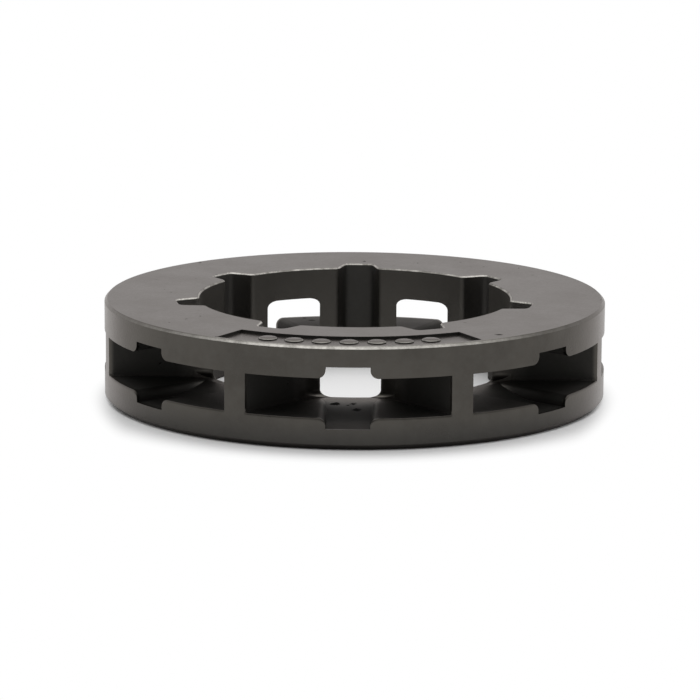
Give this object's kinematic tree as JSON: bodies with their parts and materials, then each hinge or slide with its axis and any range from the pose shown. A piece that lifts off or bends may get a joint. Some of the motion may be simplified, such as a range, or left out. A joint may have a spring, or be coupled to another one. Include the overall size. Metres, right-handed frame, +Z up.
{
  "type": "chainsaw rim sprocket",
  "caption": "Flanged steel ring with drive teeth between its flanges and a splined bore; it slides on a chainsaw's clutch hub and drives the chain by its tangs.",
  "frame": {"origin": "middle of the bore at the lower face", "axes": "+Z up along the bore axis; -Y towards the chip window under the marking recess in the upper face"},
  "size_m": [0.0306, 0.0306, 0.0061],
  "materials": {
    "steel": "blackened, with a fine cast texture and bright worn edges"
  },
  "bodies": {
    "root": {"rim_sprocket": "steel"}
  },
  "joints": []
}
